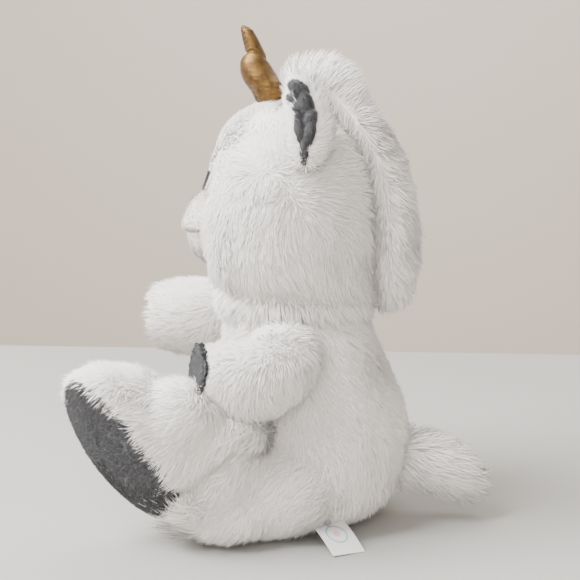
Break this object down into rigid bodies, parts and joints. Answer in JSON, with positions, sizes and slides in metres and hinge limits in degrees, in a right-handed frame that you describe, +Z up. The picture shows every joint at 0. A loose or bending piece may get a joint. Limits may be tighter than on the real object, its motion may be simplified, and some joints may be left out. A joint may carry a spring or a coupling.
{
  "type": "plush unicorn",
  "caption": "Sitting white plush unicorn with a gold cloth horn, shaggy mane and tail, grey foot and hand pads, and a jointed head, ears, arms and legs.",
  "frame": {"origin": "centre of the flat seat panel, on the table", "axes": "+Z up, the toy faces -Y and its own left side is +X"},
  "size_m": [0.2332, 0.2493, 0.3034],
  "materials": {
    "plush_white": "soft plush, 12 mm pile",
    "long_pile": "shaggy plush, 25 mm pile",
    "muzzle_pile": "short plush",
    "grey_short_pile": "short-pile fleece",
    "gold_lame": "metallic woven cloth",
    "gold_thread": "twisted thread",
    "filling": "polyester fibre",
    "white_cloth": "plain cotton",
    "white_thread": "twisted thread",
    "dark_thread": "satin embroidery",
    "satin_label": "satin ribbon"
  },
  "bodies": {
    "torso": {"torso_front_panel": "plush_white", "torso_back_panel": "plush_white", "base_panel": "plush_white", "bean_pouch": "white_cloth", "torso_stuffing": "filling", "closing_stitch": "white_thread", "neck_gathering_thread": "white_thread"},
    "neck": {"neck_stuffing": "filling"},
    "head": {"head_left_panel": "plush_white", "head_right_panel": "plush_white", "head_gusset": "plush_white", "head_stuffing": "filling", "muzzle_cover": "muzzle_pile", "muzzle_stuffing": "filling", "mouth_stitch": "white_thread", "left_eye_stitch": "dark_thread", "right_eye_stitch": "dark_thread", "mane_forelock": "long_pile"},
    "mane": {"mane": "long_pile"},
    "left_ear": {"left_ear_cover": "plush_white", "left_ear_lining": "grey_short_pile"},
    "right_ear": {"right_ear_cover": "plush_white", "right_ear_lining": "grey_short_pile"},
    "horn": {"horn_cover": "gold_lame", "horn_stuffing": "filling", "horn_binding_thread": "gold_thread"},
    "left_arm": {"left_arm_cover": "plush_white", "left_arm_stuffing": "filling", "left_hand_pad": "grey_short_pile"},
    "right_arm": {"right_arm_cover": "plush_white", "right_arm_stuffing": "filling", "right_hand_pad": "grey_short_pile"},
    "left_leg": {"left_leg_cover": "plush_white", "left_leg_stuffing": "filling", "left_foot_sole": "grey_short_pile"},
    "right_leg": {"right_leg_cover": "plush_white", "right_leg_stuffing": "filling", "right_foot_sole": "grey_short_pile"},
    "tail": {"tail_cover": "long_pile", "tail_stuffing": "filling"},
    "label": {"sewn_in_label": "satin_label"}
  },
  "joints": [
    {"name": "neck_turn", "type": "hinge", "parent": "torso", "child": "neck", "pos_m": [0, -0.005, 0.139], "axis": [0, 0, 1], "range_deg": [-20, 20], "stiffness_Nm_per_rad": 0.6},
    {"name": "head_nod", "type": "hinge", "parent": "neck", "child": "head", "pos_m": [0, -0.005, 0.139], "axis": [-1, 0, 0], "range_deg": [-8, 8], "stiffness_Nm_per_rad": 1.2},
    {"name": "mane_swing", "type": "hinge", "parent": "head", "child": "mane", "pos_m": [0, 0.003, 0.265], "axis": [1, 0, 0], "range_deg": [0, 12], "stiffness_Nm_per_rad": 0.1},
    {"name": "left_ear_flop", "type": "hinge", "parent": "head", "child": "left_ear", "pos_m": [0.0585, 0.004, 0.22], "axis": [0, 1, 0], "range_deg": [0, 25], "stiffness_Nm_per_rad": 0.02},
    {"name": "right_ear_flop", "type": "hinge", "parent": "head", "child": "right_ear", "pos_m": [-0.0585, 0.004, 0.22], "axis": [0, -1, 0], "range_deg": [0, 25], "stiffness_Nm_per_rad": 0.02},
    {"name": "horn_tilt", "type": "hinge", "parent": "head", "child": "horn", "pos_m": [0, -0.0205, 0.259], "axis": [1, 0, 0], "range_deg": [-6, 6], "stiffness_Nm_per_rad": 0.1},
    {"name": "left_arm_raise", "type": "hinge", "parent": "torso", "child": "left_arm", "pos_m": [0.046, -0.008, 0.118], "axis": [-1, 0, 0], "range_deg": [0, 35], "stiffness_Nm_per_rad": 0.15},
    {"name": "right_arm_spread", "type": "hinge", "parent": "torso", "child": "right_arm", "pos_m": [-0.044, -0.012, 0.118], "axis": [0, 0, -1], "range_deg": [0, 35], "stiffness_Nm_per_rad": 0.15},
    {"name": "left_leg_spread", "type": "hinge", "parent": "torso", "child": "left_leg", "pos_m": [0.046, -0.026, 0.042], "axis": [0, 0, 1], "range_deg": [0, 18], "stiffness_Nm_per_rad": 0.4},
    {"name": "right_leg_spread", "type": "hinge", "parent": "torso", "child": "right_leg", "pos_m": [-0.046, -0.026, 0.04], "axis": [0, 0, -1], "range_deg": [0, 12], "stiffness_Nm_per_rad": 0.4},
    {"name": "tail_wag", "type": "hinge", "parent": "torso", "child": "tail", "pos_m": [0, 0.062, 0.035], "axis": [0, 0, 1], "range_deg": [-25, 25], "stiffness_Nm_per_rad": 0.08},
    {"name": "label_flip", "type": "hinge", "parent": "torso", "child": "label", "pos_m": [0.0478, 0.0157, 0.0115], "axis": [0.525, -0.8511, 0], "range_deg": [0, 30], "stiffness_Nm_per_rad": 0.002}
  ]
}
